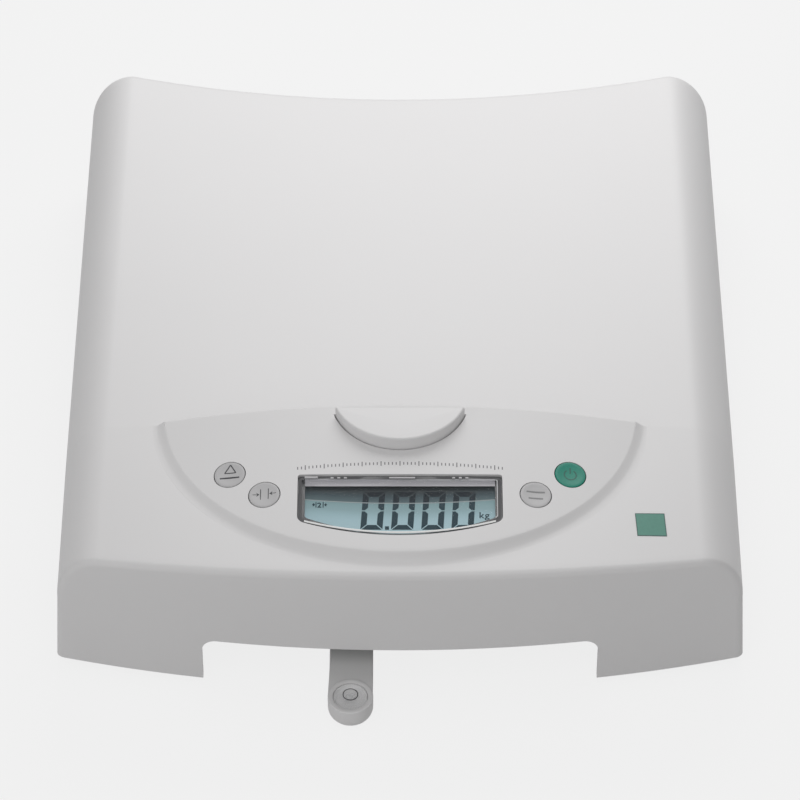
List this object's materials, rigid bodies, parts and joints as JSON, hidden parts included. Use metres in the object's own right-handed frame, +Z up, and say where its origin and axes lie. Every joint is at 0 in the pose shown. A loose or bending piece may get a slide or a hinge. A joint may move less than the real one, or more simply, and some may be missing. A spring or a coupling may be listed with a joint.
{
  "type": "digital baby weighing scale",
  "caption": "Low digital baby scale base: moulded weighing platform with raised control panel, keys, display and release button, over a base with load cell, screw feet and spirit level.",
  "frame": {"origin": "middle of the footprint, spirit level included, on the surface that the foot pads rest on", "axes": "+Z up, +Y from the front wall with the display towards the back, +X to the right seen from the front"},
  "size_m": [0.2948, 0.342, 0.0923],
  "materials": {
    "shell_white": "satin moulded plastic with a very fine grain",
    "key_grey": "satin keys with printed symbols",
    "key_green": "satin key with a printed symbol",
    "clear_plastic": "clear polished plastic",
    "lcd": "reflective liquid-crystal glass with dark segments",
    "level_grey": "grey moulded dish under clear liquid",
    "circuit_board": "green solder mask",
    "rubber": "matt moulded rubber",
    "foot_plastic": "moulded glass-filled plastic",
    "brass": "turned brass",
    "aluminium": "machined aluminium",
    "steel": "zinc plated steel",
    "battery_jacket": "plain shrink sleeve"
  },
  "bodies": {
    "base": {"base_plate": "shell_white", "load_cell": "aluminium", "fixed_end_spacer": "aluminium", "fixed_end_bolt_1": "steel", "fixed_end_bolt_2": "steel", "overload_stop_1": "steel", "overload_stop_2": "steel", "overload_stop_3": "steel", "overload_stop_4": "steel", "front_left_foot_insert": "brass", "front_right_foot_insert": "brass", "back_left_foot_insert": "brass", "back_right_foot_insert": "brass", "level_arm": "shell_white", "level_screw": "steel", "level_vial_floor": "level_grey", "level_vial": "clear_plastic", "battery_cell_1": "battery_jacket", "battery_cell_2": "battery_jacket", "battery_cell_3": "battery_jacket", "battery_cell_4": "battery_jacket", "front_contact_strip": "brass", "back_contact_strip": "brass"},
    "platform": {"top_shell": "shell_white", "display_bezel": "shell_white", "display_lens": "clear_plastic", "lcd_glass": "lcd", "lcd_light_block": "shell_white", "main_board": "circuit_board", "left_key_mat": "rubber", "right_key_mat": "rubber", "board_screw_1": "steel", "board_screw_2": "steel", "board_screw_3": "steel", "board_screw_4": "steel", "button_guide": "shell_white", "release_spring": "steel", "platform_frame": "steel", "shell_screw_1": "steel", "shell_screw_2": "steel", "shell_screw_3": "steel", "shell_screw_4": "steel", "free_end_spacer": "aluminium", "free_end_bolt_1": "steel", "free_end_bolt_2": "steel"},
    "left_outer_key": {"left_outer_key": "key_grey"},
    "left_inner_key": {"left_inner_key": "key_grey"},
    "right_inner_key": {"right_inner_key": "key_grey"},
    "right_outer_key": {"right_outer_key": "key_green"},
    "release_button": {"release_button": "shell_white"},
    "battery_door": {"battery_door": "shell_white"},
    "front_left_pad": {"front_left_foot_pad": "rubber"},
    "front_left_screw": {"front_left_foot_screw": "foot_plastic"},
    "front_right_pad": {"front_right_foot_pad": "rubber"},
    "front_right_screw": {"front_right_foot_screw": "foot_plastic"},
    "back_left_pad": {"back_left_foot_pad": "rubber"},
    "back_left_screw": {"back_left_foot_screw": "foot_plastic"},
    "back_right_pad": {"back_right_foot_pad": "rubber"},
    "back_right_screw": {"back_right_foot_screw": "foot_plastic"}
  },
  "joints": [
    {"name": "platform_travel", "type": "slide", "parent": "base", "child": "platform", "axis": [0, 0, 1], "range_m": [-0.0005, 0], "stiffness_N_per_m": 300000, "deforming": ["load_cell"]},
    {"name": "left_outer_key_press", "type": "slide", "parent": "platform", "child": "left_outer_key", "axis": [-0.1449, -0.1048, 0.9839], "range_m": [-0.0012, 0], "stiffness_N_per_m": 600, "springref_m": 0.002, "deforming": ["left_key_mat"]},
    {"name": "left_inner_key_press", "type": "slide", "parent": "platform", "child": "left_inner_key", "axis": [-0.1153, -0.1052, 0.9877], "range_m": [-0.0012, 0], "stiffness_N_per_m": 600, "springref_m": 0.002, "deforming": ["left_key_mat"]},
    {"name": "right_inner_key_press", "type": "slide", "parent": "platform", "child": "right_inner_key", "axis": [0.1153, -0.1052, 0.9877], "range_m": [-0.0012, 0], "stiffness_N_per_m": 600, "springref_m": 0.002, "deforming": ["right_key_mat"]},
    {"name": "right_outer_key_press", "type": "slide", "parent": "platform", "child": "right_outer_key", "axis": [0.1449, -0.1048, 0.9839], "range_m": [-0.0012, 0], "stiffness_N_per_m": 600, "springref_m": 0.002, "deforming": ["right_key_mat"]},
    {"name": "release_button_press", "type": "slide", "parent": "platform", "child": "release_button", "axis": [0, 0, 1], "range_m": [-0.003, 0], "stiffness_N_per_m": 700, "springref_m": 0.005, "deforming": ["release_spring"]},
    {"name": "battery_door_swing", "type": "hinge", "parent": "base", "child": "battery_door", "pos_m": [0, 0.13915, 0.0101], "axis": [1, 0, 0], "range_deg": [0, 70]},
    {"name": "front_left_foot_extend", "type": "slide", "parent": "base", "child": "front_left_pad", "axis": [0, 0, -1], "range_m": [0, 0.008]},
    {"name": "front_left_foot_turn", "type": "hinge", "parent": "front_left_pad", "child": "front_left_screw", "pos_m": [-0.106, -0.099, 0.02], "axis": [0, 0, 1], "range_deg": [0, 2304]},
    {"name": "front_right_foot_extend", "type": "slide", "parent": "base", "child": "front_right_pad", "axis": [0, 0, -1], "range_m": [0, 0.008]},
    {"name": "front_right_foot_turn", "type": "hinge", "parent": "front_right_pad", "child": "front_right_screw", "pos_m": [0.106, -0.099, 0.02], "axis": [0, 0, 1], "range_deg": [0, 2304]},
    {"name": "back_left_foot_extend", "type": "slide", "parent": "base", "child": "back_left_pad", "axis": [0, 0, -1], "range_m": [0, 0.008]},
    {"name": "back_left_foot_turn", "type": "hinge", "parent": "back_left_pad", "child": "back_left_screw", "pos_m": [-0.106, 0.125, 0.02], "axis": [0, 0, 1], "range_deg": [0, 2304]},
    {"name": "back_right_foot_extend", "type": "slide", "parent": "base", "child": "back_right_pad", "axis": [0, 0, -1], "range_m": [0, 0.008]},
    {"name": "back_right_foot_turn", "type": "hinge", "parent": "back_right_pad", "child": "back_right_screw", "pos_m": [0.106, 0.125, 0.02], "axis": [0, 0, 1], "range_deg": [0, 2304]}
  ],
  "couplings": [
    {"joint": "front_left_foot_turn", "follows": "front_left_foot_extend", "rad_per_m": 5026.5},
    {"joint": "front_right_foot_turn", "follows": "front_right_foot_extend", "rad_per_m": 5026.5},
    {"joint": "back_left_foot_turn", "follows": "back_left_foot_extend", "rad_per_m": 5026.5},
    {"joint": "back_right_foot_turn", "follows": "back_right_foot_extend", "rad_per_m": 5026.5}
  ]
}
